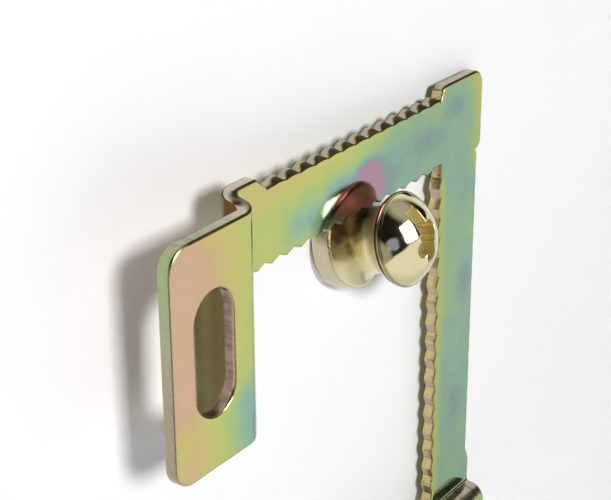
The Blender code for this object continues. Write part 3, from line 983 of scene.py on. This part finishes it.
def hole_outline(bar):
    """The long slot in a bar's tab."""
    along = bend_start(bar) - JOG_FLAT - (TAB_WIDTH - HOLE_FROM_EDGE - BEND - SHEET / 2)
    across = TAB_TOP - HOLE_FROM_TOP - HOLE_LENGTH / 2
    radius = HOLE_WIDTH / 2
    straight = HOLE_LENGTH / 2 - radius
    points = []
    for i in range(HOLE_STEPS):
        angle = 2 * math.pi * (i + 0.5) / HOLE_STEPS
        x = along + radius * math.cos(angle)
        y = across + radius * math.sin(angle) + math.copysign(straight, math.sin(angle))
        points.append(Vector((x, y)))
    return points


def wound(loop, way):
    """The loop run anticlockwise for a way of 1, clockwise for -1."""
    area = sum(a.x * b.y - b.x * a.y for a, b in zip(loop, loop[1:] + loop[:1]))
    return loop if area * way > 0.0 else loop[::-1]


def flat_blank():
    """The blank as a filled outline with rounded edges, as a bmesh."""
    curve = bpy.data.curves.new("blank", "CURVE")
    curve.dimensions = "2D"
    curve.fill_mode = "BOTH"
    curve.bevel_depth = EDGE_ROUND
    curve.bevel_resolution = 2
    curve.offset = -EDGE_ROUND
    curve.extrude = SHEET / 2 - EDGE_ROUND
    side_hole = [Vector((p.y, p.x)) for p in hole_outline(SIDE_BAR)]
    loops = (wound(plate_outline(), 1), wound(hole_outline(TOP_BAR), -1), wound(side_hole, -1))
    for loop in loops:
        spline = curve.splines.new("POLY")
        spline.points.add(len(loop) - 1)
        for point, spot in zip(spline.points, loop):
            point.co = (spot.x, spot.y, 0.0, 1.0)
        spline.use_cyclic_u = True
    obj = linked("blank", curve)
    bm = bmesh.new()
    bm.from_mesh(evaluated_mesh(obj))
    bpy.data.objects.remove(obj, do_unlink=True)
    bmesh.ops.remove_doubles(bm, verts=bm.verts, dist=WELD)
    return bm


# Plate: the forms that the press gives the blank

def rolled_over(along, across, front, bar):
    """How far across an outer tooth's point lies once the punch has rolled its front edge down."""
    on_row = outer_start(bar) - TOOTH / 2 <= along <= 0.0
    if not on_row or across <= bar.outer_root - 2 * EDGE_ROUND or front <= ROLL_START:
        return across
    depth = (front - ROLL_START) / (SHEET / 2 - ROLL_START)
    return across + (bar.outer_root + ROLL_LEVEL - across) * ROLL_SHARE * depth


def roll_teeth(bm):
    """Rolls the outer teeth's front edges down and fills the front face again."""
    slice_at(bm, (0.0, 0.0, ROLL_START), (0.0, 0.0, 1.0))
    for vert in bm.verts:
        x, y, front = vert.co
        vert.co = (rolled_over(y, x, front, SIDE_BAR), rolled_over(x, y, front, TOP_BAR), front)
    cap = [f for f in bm.faces if min(v.co.z for v in f.verts) > SHEET / 2 - SLACK]
    bmesh.ops.delete(bm, geom=cap, context="FACES")
    rim = [e for e in bm.edges if e.is_boundary]
    bmesh.ops.triangle_fill(bm, use_beauty=True, edges=rim, normal=(0.0, 0.0, 1.0))


def on_return(along, across, start):
    """Whether a point of the flat blank is on the tab's return, below the relief slit."""
    if along > start + RETURN_LENGTH:
        return False
    if along > start:
        return across < -RETURN_DROP / 2
    return across < INNER_DEPTH - RELIEF / 2


def fold(along, front, across, start):
    """Where a point of the flat blank goes, along and forward, when its tab is jogged forward."""
    run = start - along
    if on_return(along, across, start) and run <= BEND_LENGTH + WEB:
        return start - BEND + front, BEND + run - BEND_LENGTH
    if run <= 0.0:
        return along, front
    if run <= BEND_LENGTH:
        angle = run / BEND
        return start - (BEND - front) * math.sin(angle), BEND - (BEND - front) * math.cos(angle)
    if run <= BEND_LENGTH + WEB:
        return start - BEND + front, BEND + run - BEND_LENGTH
    if run <= JOG_FLAT:
        angle = (run - BEND_LENGTH - WEB) / BEND
        reach = BEND + front
        return start - 2 * BEND + reach * math.cos(angle), BEND + WEB + reach * math.sin(angle)
    return start - 2 * BEND - (run - JOG_FLAT), JOG + front


def fold_tabs(bm):
    """Folds both tabs with their returns and stands the plate in its place on the neck."""
    left = bend_start(TOP_BAR)
    foot = bend_start(SIDE_BAR)
    first_bend = [BEND_LENGTH * i / BEND_STEPS for i in range(BEND_STEPS + 1)]
    second_bend = [BEND_LENGTH + WEB + run for run in first_bend]
    for start, normal in ((left, Vector((1.0, 0.0, 0.0))), (foot, Vector((0.0, 1.0, 0.0)))):
        for run in first_bend + second_bend:
            slice_at(bm, normal * (start - run), normal)
    for vert in bm.verts:
        x, y, front = vert.co
        forward = front
        if x < left or on_return(x, y, left):
            x, forward = fold(x, front, y, left)
        elif y < foot or on_return(y, x, foot):
            y, forward = fold(y, front, x, foot)
        vert.co = CORNER + Vector((x, -forward, y))
    bmesh.ops.recalc_face_normals(bm, faces=bm.faces)


def make_plate():
    bm = flat_blank()
    roll_teeth(bm)
    fold_tabs(bm)
    mat = chromate("chromate_film")
    obj = finished("plate_skin", bm, mat, "plate", "hanger_plate")
    shade(obj, sharp_from=32.0)
    flat_enough = 0.9999
    for poly in obj.data.polygons:
        if abs(poly.normal.y) > flat_enough:
            poly.use_smooth = False


# Stage

def panel(name, corners, mat):
    mesh = bpy.data.meshes.new(name)
    mesh.from_pydata([Vector(c) for c in corners], [], [(0, 1, 2, 3)])
    obj = linked(name, mesh)
    mesh.materials.append(mat)


def one_sided(n, surface):
    """Shows a stage surface from its front only, so that it never hides the object."""
    facing = n.add("ShaderNodeNewGeometry")
    clear = n.add("ShaderNodeBsdfTransparent")
    mix = n.add("ShaderNodeMixShader")
    n.put(facing.outputs["Backfacing"], mix.inputs[0])
    n.put(surface, mix.inputs[1])
    n.put(clear.outputs[0], mix.inputs[2])
    n.put(mix.outputs[0], n.output.inputs["Surface"])


def wall_paint():
    """White paint, whose mirror image in the metal grows darker higher up."""
    n = material("wall_paint")
    spot = n.place()
    _, _, z = n.split(spot)
    mirrored = n.add("ShaderNodeLightPath").outputs["Is Glossy Ray"]
    upper = n.product(mirrored, n.step(z, 16.0, 55.0))
    paint = n.two_tone(n.noise(spot, 0.05, 2.0), WALL_WHITE)
    n.coat(n.blend(upper, paint, MIRRORED_WALL), 0.9)
    n.shader.inputs["Specular IOR Level"].default_value = 0.1
    one_sided(n, n.shader.outputs[0])
    return n.owner


def floor_paper():
    """White paper, which glows a little for the camera and in the metal's mirror images, less near the wall
    as painted shade.
    """
    n = material("floor_paper")
    spot = n.place()
    _, y, _ = n.split(spot)
    n.coat(n.two_tone(n.noise(spot, 0.03, 2.0), FLOOR_WHITE), 0.9)
    glow = n.add("ShaderNodeEmission")
    # Painted shade: the glow dims near the wall
    n.put(n.step(y, -75.0, -20.0, 0.95, 0.7), glow.inputs["Strength"])
    path = n.add("ShaderNodeLightPath")
    seen = n.product(path.outputs["Is Camera Ray"], 0.7)
    mix = n.add("ShaderNodeMixShader")
    n.put(n.calc("MAXIMUM", path.outputs["Is Glossy Ray"], seen), mix.inputs[0])
    n.put(n.shader.outputs[0], mix.inputs[1])
    n.put(glow.outputs[0], mix.inputs[2])
    one_sided(n, mix.outputs[0])
    return n.owner


def wall_spot(x, z):
    """A point of the wall, which is turned a little away from the plate."""
    return x, WALL_GAP + WALL_SLOPE * x, z


def make_stage():
    wall = (
        wall_spot(-WALL_REACH, WALL_FOOT),
        wall_spot(WALL_REACH, WALL_FOOT),
        wall_spot(WALL_REACH, WALL_REACH),
        wall_spot(-WALL_REACH, WALL_REACH),
    )
    panel("backdrop", wall, wall_paint())
    floor = (
        (FLOOR_LEFT, FLOOR_FRONT, FLOOR_LEVEL),
        (FLOOR_RIGHT, FLOOR_FRONT, FLOOR_LEVEL),
        (FLOOR_RIGHT, FLOOR_BACK, FLOOR_LEVEL),
        (FLOOR_LEFT, FLOOR_BACK, FLOOR_LEVEL),
    )
    panel("floor", floor, floor_paper())


# Light and camera

def make_world():
    """A dim room with pale ground to the lower right, soft light above, at the left and behind.

    The camera itself sees plain white.
    """
    world = bpy.data.worlds.new("studio")
    bpy.context.scene.world = world
    n = Nodes(world)
    back = n.tree.nodes["Background"]
    toward = n.add("ShaderNodeTexCoord").outputs["Generated"]
    ground = n.product(*(n.step(n.along(toward, bound), *GROUND_EDGE) for bound in GROUND_BOUNDS))
    ceiling = n.step(n.along(toward, (0.4, -0.34, 0.85)), 0.83, 0.98, 0.0, 0.46)
    ragged = n.swing(n.noise(toward, 7.0, 3.0), 0.05)
    window = n.step(n.total(n.along(toward, (-0.58, -0.79, 0.19)), ragged), 0.965, 0.985)
    left = n.step(n.along(toward, (-0.9, -0.3, -0.25)), 0.8, 0.9, 0.0, 0.38)
    rear = n.step(n.along(toward, (0.0, 1.0, 0.25)), 0.15, 0.7, 0.0, 0.8)
    room = n.total(0.012, ceiling, n.product(window, 0.4), left, rear)
    path = n.add("ShaderNodeLightPath")
    to_camera = path.outputs["Is Camera Ray"]
    mirrored = n.calc("MAXIMUM", path.outputs["Is Glossy Ray"], path.outputs["Is Transmission Ray"])
    lit = n.product(n.merge(ground, room, 0.95), n.step(mirrored, 0.0, 1.0, 0.6, 1.0))
    n.put(n.calc("MAXIMUM", lit, to_camera), back.inputs["Strength"])
    tinted = n.product(window, n.calc("SUBTRACT", 1.0, to_camera))
    n.put(n.blend(tinted, WHITE, SKY), back.inputs["Color"])


def lamp(name, azimuth, elevation, distance, size, power):
    """A rectangular soft light; azimuth 0 is straight in front of the wall, positive to the right."""
    turn = math.radians(azimuth)
    rise = math.radians(elevation)
    toward = Vector((math.sin(turn) * math.cos(rise), -math.cos(turn) * math.cos(rise), math.sin(rise)))
    data = bpy.data.lights.new(name, "AREA")
    data.shape = "RECTANGLE"
    data.size, data.size_y = size
    data.energy = power
    obj = linked(name, data)
    obj.location = LAMP_TARGET + toward * distance
    obj.rotation_mode = "QUATERNION"
    obj.rotation_quaternion = toward.to_track_quat("Z", "Y")
    return obj


def make_lights():
    """The key throws the shadows on the wall, and the window is only mirrored in the metal."""
    key = lamp("key", azimuth=-31.5, elevation=25.0, distance=0.45, size=(0.075, 0.075), power=1.74)
    key.visible_glossy = False
    window = lamp("window", azimuth=7.0, elevation=26.0, distance=0.4, size=(0.2, 0.24), power=1.6)
    window.visible_diffuse = False


def make_camera():
    forward = Vector((
        math.sin(CAMERA_TURN) * math.cos(CAMERA_DROP),
        math.cos(CAMERA_TURN) * math.cos(CAMERA_DROP),
        -math.sin(CAMERA_DROP),
    ))
    level = Vector((math.cos(CAMERA_TURN), -math.sin(CAMERA_TURN), 0.0))
    upright = level.cross(forward)
    right = level * math.cos(CAMERA_ROLL) + upright * math.sin(CAMERA_ROLL)
    up = upright * math.cos(CAMERA_ROLL) - level * math.sin(CAMERA_ROLL)
    data = bpy.data.cameras.new("camera")
    data.sensor_width = SENSOR
    data.lens = SENSOR * FOCAL_PIXELS / PHOTO_WIDTH
    data.clip_start = 0.001
    data.clip_end = 10.0
    obj = linked("camera", data)
    matrix = Matrix((right, up, -forward)).transposed().to_4x4()
    matrix.translation = CAMERA_PLACE * MM
    obj.matrix_world = matrix
    bpy.context.scene.camera = obj


make_camera()
make_plug()
make_spool()
make_screw()
make_plate()
make_stage()
make_world()
make_lights()
bpy.context.scene.view_settings.view_transform = "Standard"
